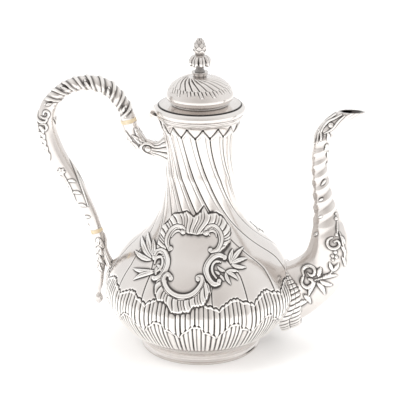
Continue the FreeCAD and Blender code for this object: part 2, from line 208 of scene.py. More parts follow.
class Relief:
    """Heights over points of a drawing plane, built up by strokes, leaves and patches."""

    def __init__(self, u, v, height):
        self.u = u
        self.v = v
        self.height = height

    def lay(self, cover, height):
        self.height = self.height * (1 - cover) + height * cover

    def nearest(self, line):
        """Distance to a polyline, the side it lies on, and how far along the line."""
        best = np.full(self.u.shape, 1e9)
        side = np.zeros(self.u.shape)
        where = np.zeros(self.u.shape)
        for i in range(len(line) - 1):
            (au, av), (bu, bv) = line[i], line[i + 1]
            du, dv = bu - au, bv - av
            length = du * du + dv * dv
            t = np.clip(((self.u - au) * du + (self.v - av) * dv) / length, 0, 1)
            pu = self.u - au - t * du
            pv = self.v - av - t * dv
            distance = pu * pu + pv * pv
            closer = distance < best
            best = np.where(closer, distance, best)
            side = np.where(closer, np.sign(du * pv - dv * pu), side)
            where = np.where(closer, (i + t) / (len(line) - 1), where)
        return np.sqrt(best), side, where

    def stroke(self, points, width, level, rise, ends, grooves=()):
        """A rounded band along a curve, narrower at its ends, with fine grooves along it."""
        line = spline(points, shares(6 * len(points)))
        distance, side, where = self.nearest(line)
        half = width * (ends + (1 - ends) * np.sin(np.pi * np.clip(where, 0.02, 0.98)) ** 0.6)
        across = distance / half
        crown = np.sqrt(np.clip(1 - across ** 2, 0, 1))
        profile = level + rise * crown
        for at in grooves:
            profile = profile - 0.35 * rise * bell(side * across - at, 0.16)
        self.lay(ease(1.05, 0.9, across), profile)

    def knob(self, centre, radius, level, rise):
        """A round boss with a fine ring in it."""
        across = np.hypot(self.u - centre[0], self.v - centre[1]) / radius
        crown = np.sqrt(np.clip(1 - across ** 2, 0, 1))
        profile = level + rise * (crown - 0.3 * bell(across - 0.55, 0.13))
        self.lay(ease(1.05, 0.92, across), profile)

    def leaf(self, base, tip, width, level, rise, bend=0.0, veins=0):
        """A pointed leaf with a midrib, curved sideways by a share of its length."""
        du, dv = tip[0] - base[0], tip[1] - base[1]
        length = math.hypot(du, dv)
        t = ((self.u - base[0]) * du + (self.v - base[1]) * dv) / length ** 2
        s = ((self.v - base[1]) * du - (self.u - base[0]) * dv) / length
        t_in = np.clip(t, 0, 1)
        s = s - bend * length * 4 * t_in * (1 - t_in)
        half = width * np.sin(np.pi * t_in ** 0.8) ** 0.8 + 1e-3
        across = np.abs(s) / half
        profile = level + rise * (np.clip(1 - across ** 2, 0, 1) ** 0.5 - 0.45 * bell(s, 0.16 * width))
        if veins:
            profile = profile - 0.22 * rise * arch(veins * t - across * 0.8, 1.0) * (across > 0.15)
        inside = (t > 0) & (t < 1)
        self.lay(ease(1.05, 0.88, across) * inside, profile)

    def patch(self, outline, profile, soft):
        """A filled outline whose profile function gets the distance in from its edge."""
        edge = np.array(list(outline) + [outline[0]], float)
        distance = self.nearest(edge)[0]
        crossings = np.zeros(self.u.shape, int)
        for (au, av), (bu, bv) in zip(edge, edge[1:]):
            spans = (av > self.v) != (bv > self.v)
            rise = bv - av if bv != av else 1e-9
            crossings += spans & (self.u < au + (self.v - av) * (bu - au) / rise)
        depth = np.where(crossings % 2 == 1, distance, -distance)
        self.lay(ease(-soft, soft, depth), profile(depth))


# Body

BODY_ROWS = 520
BODY_COLUMNS = 1280
WALL_ROWS = 90
BODY_SINK = 0.7  # keeps the ridges of the chasing near the plain outline
FOOT_FADE_Z = (17.0, 23.0)  # the chasing dies out towards the foot ring
RIM_FADE_Z = (204.6, 205.6)
WALL_SINK = 1.3  # keeps the inside smooth behind the deepest grooves

SWIRL_TURN = -83.0  # degrees that the flutes turn between the bulb and the mouth
SWIRL_Z = (84.0, 205.0)
SWIRL_EASE = 1.4
SWIRL_START = 14.3  # degrees from the front to a groove on the bulb

# One scallop's edge from valley to valley: fraction across it, fraction of its height
SCALLOP = np.array([
    (0, 0), (0.08, 0.3), (0.17, 0.55), (0.27, 0.72), (0.34, 0.95), (0.45, 1.0), (0.58, 0.93),
    (0.65, 0.55), (0.78, 0.46), (0.9, 0.22), (1, 0),
])
RIB_EDGES = np.array([0, 0.14, 0.25, 0.37, 0.48, 0.59, 0.7, 0.87, 1.0])
RIB_DEPTHS = np.array([1.0, 1.0, 0.55, 1.0, 0.5, 1.0, 0.6, 1.0, 1.0])

UPPER_TIER = {"offset": 18.2, "valley_z": 63.0, "peak_z": 69.6, "rise": 0.9, "fade": (66.0, 42.0)}
LOWER_TIER = {"offset": 16.8, "valley_z": 38.0, "peak_z": 50.0, "rise": 1.3, "fade": (48.0, 20.0)}
RIB_HEIGHT = 1.9

NECK_LEAF_START_Z = 190.0
NECK_LEAF_TIP_Z = 193.3
NECK_LEAF_LENGTH = 7.2
NECK_LEAF_R = 33.0  # neck's radius at the leaves


def swirl_turn(z):
    """Degrees that the flutes have turned at a height: slow at both ends, quick between."""
    share = np.clip((z - SWIRL_Z[0]) / (SWIRL_Z[1] - SWIRL_Z[0]), 0, 1)
    return SWIRL_TURN * np.sin(np.pi / 2 * share) ** SWIRL_EASE


def swirl_panels(phi, z, radius):
    """Sixteen turning flutes: full and round on the neck, flat with incised lines below."""
    turn = swirl_turn(z)
    q = (phi - turn - SWIRL_START) / LOBE
    to_line = np.abs(q - np.round(q)) * math.radians(LOBE) * radius
    fullness = 0.3 + 0.75 * ease(100, 135, z)
    f = q - np.floor(q)
    side_ridge = (0.3 * bell(f - 0.8, 0.07) - 0.25 * bell(f - 0.68, 0.04)) * ease(112, 150, z)
    return fullness * arch(q, 0.6) - 0.6 * bell(to_line, 0.5) + side_ridge


def neck_leaves(phi, z, below):
    """Zigzag leaf edge round the top of the flutes, with a punched dot at each turn."""
    q = phi / LOBE
    f = np.abs(q - np.round(q)) * 2
    edge = NECK_LEAF_TIP_Z + NECK_LEAF_LENGTH * f ** 1.25
    down = (edge - z) * 0.62
    above = 0.25 * bell(z - 203.4, 0.5) + 0.1
    raised = below + 0.35 * ease(NECK_LEAF_START_Z, NECK_LEAF_START_Z + 8, z)
    height = above * (1 - ease(-0.25, 0.25, down)) + raised * ease(-0.25, 0.25, down)
    height = height - 0.6 * bell(down, 0.42) + 0.3 * bell(down - 1.2, 0.5)
    half_lobe = math.radians(LOBE / 2) * NECK_LEAF_R
    across = f * half_lobe
    valley = np.hypot(across, z - NECK_LEAF_TIP_Z + 0.7)
    peak = np.hypot(half_lobe - across, z - NECK_LEAF_TIP_Z - 6.9)
    return height - 1.3 * bell(valley, 0.8) - 1.2 * bell(peak, 0.75)


def ribs(f, seed):
    """Uneven ridges across a scallop: height from 0 in a groove to 1 on a ridge."""
    k = np.clip(np.searchsorted(RIB_EDGES, f, side="right") - 1, 0, len(RIB_EDGES) - 2)
    width = RIB_EDGES[k + 1] - RIB_EDGES[k]
    t = (f - RIB_EDGES[k]) / width
    wobble = 0.75 + 0.25 * np.sin(seed * 2.7 + k * 1.9)
    left = RIB_DEPTHS[k] * wobble
    right = RIB_DEPTHS[k + 1] * wobble
    rounded = (4 * t * (1 - t)) ** 1.3
    return 1 - (left * (1 - t) + right * t) * (1 - rounded)


def scallop_tier(phi, z, below, tier):
    """Overlapping shells round the bowl, with upright ribs under a wavy raised edge."""
    q = (phi - tier["offset"]) / LOBE
    f = q - np.floor(q)
    lobe = np.mod(np.floor(q), LOBES)
    ridge = ribs(f, lobe)
    lobe_height = tier["peak_z"] - tier["valley_z"]
    edge = tier["valley_z"] + lobe_height * np.interp(f, SCALLOP[:, 0], SCALLOP[:, 1])
    edge = edge + 1.3 * ridge - 0.6 + 0.5 * np.sin(lobe * 2.3)
    down = (edge - z) * 0.85
    top, bottom = tier["fade"]
    run = ease(bottom, top, z)
    body = tier["rise"] * (1 - 0.75 * run) + RIB_HEIGHT * (ridge - 0.6) * (1 - run * 0.45)
    lip = 0.45 * bell(down - 0.6, 0.55)
    inside = ease(-0.3, 0.45, down)
    shadow = -0.65 * bell(down + 0.7, 0.6)
    return (below + shadow) * (1 - inside) + (body + lip) * inside


# Drawing plane of the chased ornament: EYE sits before the pot and looks down on it
EYE = np.array([133.0, -1024.5, 510.6])
EYE_PITCH = math.radians(20.25)
EYE_TURN = math.atan2(EYE[0], -EYE[1])
DRAWING_DISTANCE = 1117.8
DRAWING_DROP = 49.0  # from the eye's own level down to the drawing's zero line


def drawing_plane(points):
    """Where the line from EYE to each point meets the drawing plane."""
    right = np.array([math.cos(EYE_TURN), math.sin(EYE_TURN), 0])
    flat = np.array([-math.sin(EYE_TURN), math.cos(EYE_TURN), 0])
    forward = flat * math.cos(EYE_PITCH) - np.array([0, 0, math.sin(EYE_PITCH)])
    up = np.cross(right, forward)
    ray = points - EYE
    depth = ray @ forward
    u = DRAWING_DISTANCE * (ray @ right) / depth
    v = DRAWING_DISTANCE * (ray @ up) / depth + DRAWING_DROP
    return u, v


UPPER_FAN = [
    (-37.6, 3), (-38.2, 9), (-37.0, 13.5), (-35.8, 20), (-32.4, 27.3), (-27.8, 32.5), (-23.2, 37.8),
    (-17.9, 38.9), (-11.3, 40.4), (-5.4, 35.5), (-2.8, 37.5), (3.2, 45.1), (7.2, 37.8), (13.7, 39.2),
    (19, 36.2), (22.6, 30.4), (26.4, 25.3), (27.4, 19.4), (25.7, 12.2), (21.6, 6.9), (17, 2),
    (6, -3), (-12, -8), (-30, -4),
]
LOWER_FAN = [
    (-38, -17), (-40.4, -24), (-39.8, -31), (-37.8, -37.9), (-33, -39.5), (-29.1, -42.8),
    (-25.8, -48.5), (-17.9, -49.9), (-10, -48.6), (-6, -43.6), (-1, -44.4), (3.2, -42.6),
    (6.2, -36.5), (9.4, -30), (9.8, -24), (0, -16), (-15, -20), (-30, -14),
]
PLAQUE = [
    (-27.6, 10), (-27.4, 18), (-23, 24), (-16.5, 24.6), (-11, 20.5), (-2.7, 19.2), (3, 20.4),
    (9, 23.5), (15, 20.5), (16.6, 13), (13, 5), (8, 0.5), (5, -6), (4.6, -14), (1, -18),
    (-1.5, -25), (-8, -31.5), (-15, -33.5), (-22, -32), (-28, -26.5), (-30, -18), (-29, -10),
    (-28.4, -2), (-30, 5),
]
SCROLLS = [
    # points, half width
    ([(-26.4, 6.2), (-28.6, 11.6), (-27.4, 18.1), (-24.3, 23.2), (-19.9, 26.4), (-16.4, 26.2),
      (-13.8, 23.8), (-14.6, 21.2)], 2.3),
    ([(3.4, 20.6), (5.6, 25), (9.7, 26.8), (13.9, 24.6), (16.9, 19.6), (17.8, 14.1), (16.4, 8.9),
      (13, 5.1), (9.2, 4.6)], 2.3),
    ([(-38.8, 1), (-36.2, 5), (-32, 5.4), (-29.2, 1.4), (-28.3, -3.6), (-29.3, -8.9),
      (-31.7, -13.7), (-35.3, -17.3), (-39.8, -18.6)], 2.5),
    ([(20.4, -0.4), (15.2, 1.4), (9.9, -1.3), (6.5, -5.6), (4.7, -10.9), (5.7, -16.3), (8.4, -20.9),
      (12.4, -23.5), (15.8, -22.6)], 2.5),
    ([(-25.6, -17.2), (-28.6, -14.9), (-31.6, -18.1), (-31.3, -22.9), (-29.1, -27.5), (-25.1, -31.5),
      (-20.5, -33.9), (-14.6, -34.8), (-8.5, -33.5), (-3.9, -30.3), (-0.2, -25.7), (1.5, -20.8),
      (0, -17.2), (-2.6, -17.9)], 2.8),
]
KNOBS = [
    (-25.4, 7.2, 1.9), (-14.6, 21.6, 2.2), (8.4, 5.8, 1.9), (5, 20.6, 2.4), (-39.6, -0.6, 1.8),
    (-40.2, -17.8, 1.8), (20.6, -0.6, 2), (15.8, -21, 2), (-25.4, -18.4, 2), (-2.2, -19.2, 2),
]
INNER_CURLS = [
    ([(-24.4, 17.6), (-21.6, 21.4), (-18.2, 22.6), (-16, 20.6)], 0.9),
    ([(13.6, 17.6), (12.6, 21.2), (9.4, 22.6), (6.8, 20.8), (8, 18.6)], 1),
    ([(-39.4, -5.4), (-37, -0.4), (-34, 0.2), (-32.4, -4), (-34, -9.4), (-37.6, -12.6)], 1.1),
    ([(17.2, -4.4), (13.2, -4), (10, -8.4), (10.6, -14.2), (13.6, -18.2)], 1.1),
]
LEAVES = [
    # base, tip, half width, bend
    ((-40.3, -11.6), (-58.5, -9.4), 2, 0.08), ((-40.3, -13), (-58, -19.4), 2, -0.08),
    ((-42.4, -2.4), (-57, 6.4), 2.2, 0.10), ((-42, -0.8), (-50.6, 18.4), 2.3, 0.10),
    ((-40.8, 1), (-45.4, 21.8), 2.2, 0.06), ((-39.6, 2.6), (-40.4, 15.4), 2, 0.02),
    ((-37.2, -6.2), (-33.8, -12.8), 1.5, 0.10), ((-37, -8.4), (-38.4, -15.6), 1.4, -0.10),
    ((26.2, -5.6), (28, 7.2), 2.1, 0.08), ((26.4, -5.4), (37.4, 8.6), 2.1, 0.06),
    ((26.6, -5.8), (40.4, -1), 1.9, 0.06), ((26.4, -6.4), (40, -8.8), 1.6, -0.06),
    ((21.2, -12.4), (14.2, -7.6), 1.3, 0.10), ((21.6, -12.9), (32.4, -19.8), 1.6, 0.10),
    ((21.4, -13.2), (26.4, -23.8), 1.6, -0.08), ((21.8, -12.6), (33, -12.4), 1.4, 0.08),
    ((16.6, -15), (12.4, -12), 1.1, 0), ((16.8, -15.4), (20.4, -20.4), 1.2, 0),
]
FAN_CENTRE = (-8.0, -2.0)
FAN_RIDGES = 48
CARTOUCHE_LEVEL = 1.1
CARTOUCHE_HALF = (66, 62)  # the drawing lies within this half width and half height


def cartouche(points, height):
    """Shield with C scrolls, ruffled shells above and below it, and leaf sprays."""
    u, v = drawing_plane(points)
    near = (np.abs(u) < CARTOUCHE_HALF[0]) & (np.abs(v) < CARTOUCHE_HALF[1])
    work = Relief(u[near], v[near], height[near])
    out_u = work.u - FAN_CENTRE[0]
    out_v = work.v - FAN_CENTRE[1]
    angle = np.arctan2(out_v, out_u) / (2 * math.pi)
    reach = np.hypot(out_u, out_v)
    curl = 0.008 * np.sin(reach * 0.22)
    ridge = arch(FAN_RIDGES * (angle + curl), 0.8)
    fold = arch(FAN_RIDGES / 3 * (angle + curl) + 0.5, 0.5)

    def shell(depth):
        tip = ease(0, 2.0, depth - 1.6 * (1 - fold))
        ruffle = 1.3 * ridge * fold ** 0.5 + 0.8 * fold
        return CARTOUCHE_LEVEL * (0.1 + 0.6 * tip) + ruffle * (0.25 + 0.75 * tip)

    def shield(depth):
        return CARTOUCHE_LEVEL + 0.25 * ease(0, 14, depth)

    for base, tip, half, bend in LEAVES:
        work.leaf(base, tip, half, 0.45, 0.9, bend)
    work.patch(UPPER_FAN, shell, 0.35)
    work.patch(LOWER_FAN, shell, 0.35)
    work.patch(PLAQUE, shield, 0.3)
    for curl_points, half in INNER_CURLS:
        work.stroke(curl_points, half, CARTOUCHE_LEVEL, 0.7, 0.3)
    for scroll_points, half in SCROLLS:
        work.stroke(scroll_points, half, CARTOUCHE_LEVEL - 0.1, 1.5, 0.55, (-0.45,))
    for ku, kv, radius in KNOBS:
        work.knob((ku, kv), radius, CARTOUCHE_LEVEL, 1.5)
    result = height.copy()
    result[near] = work.height
    return result


def body_angles():
    """Column angles, closer together across the two cartouches."""
    even = np.linspace(-180, 180, 20000)
    density = 1 + 0.75 * ease(0.35, 0.75, np.abs(np.cos(np.radians(even))))
    total = np.concatenate([[0], np.cumsum(density[:-1])])
    wanted = np.arange(BODY_COLUMNS) / BODY_COLUMNS * total[-1]
    return np.interp(wanted, total, even)


def body_height(phi, z, radius):
    """Height of the chasing over the plain outline."""
    points = around(radius, np.radians(phi), z)
    height = swirl_panels(phi, z, radius)
    height = np.where(z > NECK_LEAF_START_Z, neck_leaves(phi, z, height), height)
    height = scallop_tier(phi, z, height, UPPER_TIER)
    height = scallop_tier(phi, z, height, LOWER_TIER)
    front = points[..., 1] < 0
    height[front] = cartouche(points[front], height[front])
    turned_about = points * np.array([-1, -1, 1])
    height[~front] = cartouche(turned_about[~front], height[~front])
    height = height * ease(FOOT_FADE_Z[0], FOOT_FADE_Z[1], z)
    return height * ease(RIM_FADE_Z[1], RIM_FADE_Z[0], z)


def body():
    """Chased outside with a smooth wall behind it, joined at the rim and at the foot."""
    outline = turned_outline("body_shell")
    outline = resampled(spline(outline, shares(2000)), BODY_ROWS)
    wall = resampled(turned_outline("body_shell", inside=True), WALL_ROWS)
    phi = body_angles()
    radius = outline[:, 0:1] + 0 * phi
    z = outline[:, 1:2] + 0 * phi
    tangent = direction(outline)
    angle = phi + 0 * radius
    height = body_height(angle, z, radius) - BODY_SINK * ease(8, 16, z) * ease(206, 203, z)
    tone = tone_of(height, 2, 6)
    out = radius + height * tangent[:, 1:2]
    up = z - height * tangent[:, 0:1]
    outer = around(out, np.radians(angle), up)
    inner_z = wall[::-1, 1][:, None]
    thicker = WALL_SINK * ease(203.2, 200.5, inner_z) * ease(8, 20, inner_z)
    inner_r = wall[::-1, 0][:, None] - thicker + 0 * phi
    inner = around(inner_r, np.radians(phi), inner_z)
    rows = np.concatenate([outer, inner])
    tones = np.concatenate([tone, 0.3 + 0 * inner_r])
    piece("chased_body", [grid_part(rows, tones)], "pot", "body_shell")


# Tubes along a path in the XZ plane

class Tube:
    """Oval rings along a path of (x, z, half height, width ratio) rows.

    The angle is 0 on the left of the path's direction, and +-90 degrees on its +-Y sides.
    """

    def __init__(self, path, rows, columns):
        path = np.array([(*row, 1.0) if len(row) == 3 else row for row in path])
        line = spline(path, shares(rows))
        self.s = along(line[:, :2])[:, None] + np.zeros(columns)
        self.angle = np.linspace(-np.pi, np.pi, columns, endpoint=False) + np.zeros((rows, 1))
        self.tangent = direction(line[:, :2])
        self.line = line
        self.around = np.abs(self.angle) * line[:, 2:3] * (1 + line[:, 3:4]) / 2

    def points(self, height=0.0):
        half = self.line[:, 2:3]
        side = half * self.line[:, 3:4]
        lift = (half + height) * np.cos(self.angle)
        x = self.line[:, 0:1] - self.tangent[:, 1:2] * lift
        z = self.line[:, 1:2] + self.tangent[:, 0:1] * lift
        return np.stack([x, (side + height) * np.sin(self.angle), z], axis=-1)

    def relief(self):
        """A drawing plane unrolled from the tube: along it, and round from its left side."""
        return Relief(self.s, self.around, np.zeros_like(self.s))


def chased(points, height, artwork):
    """Heights with a drawing chased on the -Y side and mirrored on the +Y side."""
    seen = points.copy()
    seen[..., 1] = -np.abs(seen[..., 1])
    work = Relief(*drawing_plane(seen), height)
    artwork(work)
    return work.height


def tone_of(height, fine=1, broad=4):
    """Tarnish in fine grooves and painted shade in broad hollows, from the shape: above 0 in grooves and
    hollows, below 0 on worn ridges.
    """
    groove = (blurred(height, fine) - height) / 0.13
    # broad term: painted shade in wide hollows, polish on broad swells
    hollow = (blurred(height, broad) - height) / 0.4
    return groove + np.clip(hollow, -1.0, 1.0)


def crossing(level):
    """Fractional row at which each column first rises through zero."""
    row = np.maximum(np.argmax(level >= 0, axis=0), 1)
    column = np.arange(level.shape[1])
    before = level[row - 1, column]
    after = level[row, column]
    return row - 1 + np.clip(-before / (after - before + 1e-12), 0, 1)


def trimmed(rows, tones, first, last):
    """Each column of a grid spread again between two fractional rows."""
    at = first + (last - first) * shares(len(rows))[:, None]
    low = np.clip(np.floor(at).astype(int), 0, len(rows) - 2)
    share = at - low
    column = np.arange(rows.shape[1])
    tone = tones[low, column] * (1 - share) + tones[low + 1, column] * share
    share = share[..., None]
    return rows[low, column] * (1 - share) + rows[low + 1, column] * share, tone


def capped(rows, tones):
    """A tube's grid closed at both ends by rings that shrink onto its middle line."""
    first = rows[:1].mean(axis=1, keepdims=True)
    last = rows[-1:].mean(axis=1, keepdims=True)
    closed = [first + (rows[:1] - first) * 0.02, first + (rows[:1] - first) * 0.97, rows,
              last + (rows[-1:] - last) * 0.97, last + (rows[-1:] - last) * 0.02]
    tone = [tones[:1], tones[:1], tones, tones[-1:], tones[-1:]]
    return grid_part(np.concatenate(closed), np.concatenate(tone))


def outside_body(rows, sink):
    """How far each point stands out of the body's plain surface, sunk by a small depth."""
    outline = turned_outline("body_shell")
    surface = np.interp(rows[..., 2], outline[:, 1], outline[:, 0])
    return np.hypot(rows[..., 0], rows[..., 1]) - surface + sink


# Spout

SPOUT_PATH = [
    # x, z, half height, width ratio
    (66, 47.5, 31.5, 0.62), (77, 50, 28, 0.66), (89, 56.5, 24.5, 0.72),
    (100.5, 67, 22.2, 0.78), (108.2, 81.5, 20, 0.84), (109.6, 99, 16.8, 0.9),
    (106.8, 116.5, 12.2, 0.95), (103.7, 132.8, 9.3, 1), (101.2, 148, 7.9, 1),
    (99.6, 160, 7.2, 1), (99.2, 170.5, 7, 1), (100.3, 181, 7.1, 1),
    (103.6, 191.6, 7, 1), (109.4, 199.6, 6.9, 1), (117, 206.2, 6.6, 1),
    (127, 213.2, 6.3, 1), (135, 218.6, 6, 1),
]
SPOUT_WALL = 1.2
SPOUT_ROWS = 640
SPOUT_COLUMNS = 176
LIP_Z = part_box("spout_tube")[1].z / MM
# Drawing of the spout's chasing: leaves as (base, tip, half width, bend)
SPOUT_LEAVES = [
    ((109.8, 107), (108.5, 98.4), 1.5, 0.15), ((109.2, 97.1), (106.5, 90.5), 1.5, 0.15),
    ((109.4, 90.5), (108.5, 79.3), 1.4, 0.15), ((101.2, -17.6), (103.9, -8.8), 2, 0.05),
    ((103.9, -19), (118, -16.3), 1.8, 0.08), ((102.6, -20.9), (113.8, -24.6), 1.9, -0.06),
    ((99.9, -22.3), (107.2, -33.2), 2.1, 0.08), ((98.6, -21.6), (92.9, -33.9), 2.1, -0.08),
    ((113.8, -12.4), (111.1, -4.6), 1.7, 0.05), ((113.8, -12.4), (119.2, -5.4), 1.6, -0.05),
    ((120, 18), (124, 10), 1.3, 0.1), ((121, 9), (124.6, 0.5), 1.3, 0.1),
    ((121.6, 0), (124.2, -9), 1.3, 0.1), ((77.5, -44), (91.8, -38.6), 2.5, 0.06),
    ((76, -47.6), (86.4, -46.4), 2.1, 0.06), ((73.6, -51.4), (80.4, -51.9), 1.9, 0.06),
    ((88.4, -33), (95, -40.6), 2, 0.1),
]
SPOUT_DROPS = [
    ((108.1, 66.1), (103.9, 60.8)), ((105.9, 49.8), (101.5, 47.8)), ((105.2, 35.1), (101, 33.1)),
    ((100.6, 20.6), (97.6, 17.4)),
]
SPOUT_STROKES = [
    ([(103.9, 106.3), (105.9, 110.9), (109.8, 115.6), (115.8, 118.6), (122, 122)], 0.9),
    ([(107, 106), (110.6, 107.6), (114.6, 110.6), (118.6, 115.6), (124.6, 121)], 0.9),
    ([(98.4, 97), (99.9, 106.3), (103.9, 112.9), (109.2, 119.5), (115.8, 124.1)], 0.8),
    ([(101, 98), (102, 106), (105.6, 112.6), (110.6, 118), (117, 122.2)], 0.7),
    ([(103.8, 99.6), (104.2, 103), (103.6, 107), (101.8, 109.6)], 0.9),
    ([(117.3, 30.6), (117.7, 25.6), (117.7, 20.6)], 0.6),
    ([(113.4, 16.2), (109.8, 14.4), (109, 10.7), (111.8, 7.2), (116.4, 7), (119.4, 10.2),
      (118, 13.4), (115.2, 12.6)], 1.2),
    ([(98, -20.3), (104, -18.6), (110, -15.6), (113.8, -12.4)], 0.5),
    ([(88.7, -15.9), (87.9, -11.4), (91.8, -8.3), (96.6, -9.3), (98.2, -13.4), (95.4, -16.4),
      (92.6, -14.6)], 1.4),
    ([(88.1, -17.6), (86.9, -22.3), (90.4, -26.4), (95.1, -25), (96, -20.7), (92.9, -19.4)], 1.5),
    ([(119.6, 20.6), (121.9, 12.7), (123.4, 4.8), (123.7, -4.4)], 0.7),
]
SPOUT_KNOBS = [
    (112.5, 112.9, 2.3), (116.7, 36.7, 0.7), (116.8, 32.6, 1.3), (117.3, 18.8, 1.3), (116, 3.7, 1.5),
    (113.6, 0.4, 1.4), (116.8, -0.4, 1.4), (113.8, -3, 1.1),
]
FLUTE_STEP = 10.6


def spout_artwork(work):
    for base, tip, half, bend in SPOUT_LEAVES:
        work.leaf(base, tip, half, 0.0, 1.1, bend, 3)
    for base, tip in SPOUT_DROPS:
        work.leaf(base, tip, 1.1, 0.0, 0.8)
    for points, half in SPOUT_STROKES:
        work.stroke(points, half, -0.1, 1.2, 0.5)
    for u, v, radius in SPOUT_KNOBS:
        work.knob((u, v), radius, -0.1, 1.2)


def spout():
    """Spout with soft turning flutes and chased scrolls, cut level at the lip."""
    tube = Tube(SPOUT_PATH, SPOUT_ROWS, SPOUT_COLUMNS)
    s, angle = tube.s, tube.angle
    run = ease(78, 104, s) * (1 - ease(170, 182, s))
    turn = s / FLUTE_STEP + angle / np.pi
    wave = 0.5 + 0.5 * np.cos(2 * np.pi * turn)
    height = run * (0.9 * wave - 0.7) - 0.2
    mouth = ease(190, 196, s) * (1 - ease(210, 216, s))
    height = height + 0.4 * mouth * (arch(14 * angle / (2 * np.pi), 0.6) - 0.6)
    height = chased(tube.points(), height, spout_artwork)
    outer = tube.points(height)
    tone = tone_of(height)
    first = crossing(outside_body(outer, 0.8))
    last = crossing(outer[..., 2] - LIP_Z)
    outer, tone = trimmed(outer, tone, first, last)
    inner = tube.points(-SPOUT_WALL - 0.6)
    inner, inner_tone = trimmed(inner, 1.2 + 0 * s, first, crossing(inner[..., 2] - LIP_Z))
    rows = np.concatenate([outer, inner[::-6]])
    tones = np.concatenate([tone, inner_tone[::-6]])
    piece("chased_spout", [grid_part(rows, tones)], "pot", "spout_tube")


COLLAR_PATH = [
    (66, 47.5, 34.5, 0.66), (77, 50, 31.6, 0.7), (85, 53.6, 28.6, 0.74),
    (92, 58.8, 25.4, 0.78),
]
COLLAR_ROWS = 120
COLLAR_COLUMNS = 640
COLLAR_REEDS = 44
COLLAR_EDGE_X = 88.0


def collar():
    """Two rows of reeded lobes that wrap the root of the spout."""
    tube = Tube(COLLAR_PATH, COLLAR_ROWS, COLLAR_COLUMNS)
    reeds = arch(COLLAR_REEDS * tube.angle / (2 * np.pi), 0.5)
    outer = tube.points()
    over = np.clip(outer[..., 2] - 50, 0, None)
    edge = outer[..., 0] - COLLAR_EDGE_X + 0.025 * over ** 2
    first = crossing(outside_body(outer, 0.6))
    last = crossing(edge + 1.2 - 1.6 * reeds)
    fade = ease(6, 24, last - first)
    last = np.maximum(last, first + 2)
    share = shares(COLLAR_ROWS)[:, None]
    step = ease(0.47, 0.5, share)
    swell = np.abs(np.sin(2 * np.pi * share))
    height = 0.5 - 0.5 * step + 1.2 * reeds * (0.35 + 0.65 * swell ** 0.5)
    height = height * fade
    low = np.clip(first, 0, COLLAR_ROWS - 2).astype(int)
    grid = trimmed(outer, 0 * tube.s, first, last)[0]
    centre = np.stack([tube.line[low, 0], 0 * first, tube.line[low, 1]], axis=-1)
    away = grid - centre[None]
    away /= np.linalg.norm(away, axis=-1, keepdims=True)
    rim = ease(1.0, 0.9, share)[..., None]
    raised = grid + away * height[..., None] * rim
    sunk = grid - away * 4.5
    rows = np.concatenate([raised, sunk[::-8]])
    tones = np.concatenate([tone_of(height, 3, 9), 0.2 + 0 * sunk[::-8, :, 0]])
    part = grid_part(rows, tones)
    piece("reeded_collar", [part], "pot", "spout_collar")


# Handle

# Middle and axis of each insulator
UPPER = (np.array([-60.2, 197.9]), np.array([-0.27, 0.963]))
LOWER = (np.array([-90.4, 98.2]), np.array([0.28, -0.96]))
INSULATOR_HALF = 1.7
GRIP_BENDS = [
    (-67.6, 215.4, 7.1), (-77.2, 225.2, 7.3), (-90.4, 229.2, 7), (-104.6, 227.6, 6.7),
    (-117.6, 220.4, 6.7), (-127, 208.6, 7.2), (-130.4, 194, 7.9), (-127.8, 178.6, 8.1),
    (-119.2, 159.2, 7.8), (-110.6, 144.6, 7.2), (-101.4, 126.8, 6.2),
]
TWIST_END = 88.0
TWIST_STEP = 9.7
GRIP_STROKES = [
    ([(-134.6, 123), (-133.6, 125.6), (-130.6, 125), (-130.4, 121.6), (-133.2, 119.6),
      (-136.6, 121)], 1.2),
    ([(-139.6, 126), (-140.2, 120), (-136.6, 116.6), (-132.6, 117), (-131.6, 120)], 1.3),
    ([(-136.6, 115), (-132.4, 113.6), (-132.6, 109.6), (-136, 109.6)], 1.1),
    ([(-125.6, 120), (-122.4, 112), (-118, 100), (-112, 86), (-104, 66),
      (-96.4, 44)], 0.8),
    ([(-118.2, 72.2), (-112.6, 62), (-107.6, 50), (-101.6, 36), (-94, 25)], 0.5),
]
GRIP_LEAVES = [
    ((-138.4, 113), (-134.6, 105.6), 1.7, 0.15), ((-138.6, 108), (-133.4, 100.6), 1.7, 0.15),
    ((-137.6, 103), (-132.6, 95.6), 1.7, 0.15), ((-136, 98), (-131.4, 89.6), 1.6, 0.15),
    ((-134, 93), (-129, 83.6), 1.5, 0.12), ((-140, 117), (-138.6, 108.6), 1.5, -0.1),
    ((-114, 66), (-106.6, 64.6), 1.5, 0.1), ((-112, 61), (-116, 54), 1.5, 0.1),
    ((-110, 56), (-102, 54.4), 1.5, 0.1), ((-108, 51), (-111.4, 43.6), 1.5, 0.1),
    ((-105.6, 45), (-97.6, 43.6), 1.5, 0.1), ((-103.4, 40), (-106, 33.6), 1.4, 0.1),
    ((-100.4, 34), (-94, 34.6), 1.3, 0.1),
]
GRIP_FLOWER = (-119.4, 73.6)


def on_axis(insulator, distance, radius):
    """A row of a tube's path at a distance along an insulator's axis."""
    centre, axis = insulator
    x, z = centre + axis * distance
    return (x, z, radius)


def grip_artwork(work):
    for points, half in GRIP_STROKES:
        work.stroke(points, half, -0.1, 1.1, 0.5)
    for base, tip, half, bend in GRIP_LEAVES:
        work.leaf(base, tip, half, 0.0, 1.0, bend, 3)
    u, v = GRIP_FLOWER
    for k in range(6):
        turn = 2 * np.pi * k / 6
        work.leaf((u, v), (u + 3.8 * math.cos(turn), v + 3.8 * math.sin(turn)), 1.3, 0.1, 0.8)
    work.knob(GRIP_FLOWER, 1.3, 0.4, 0.9)


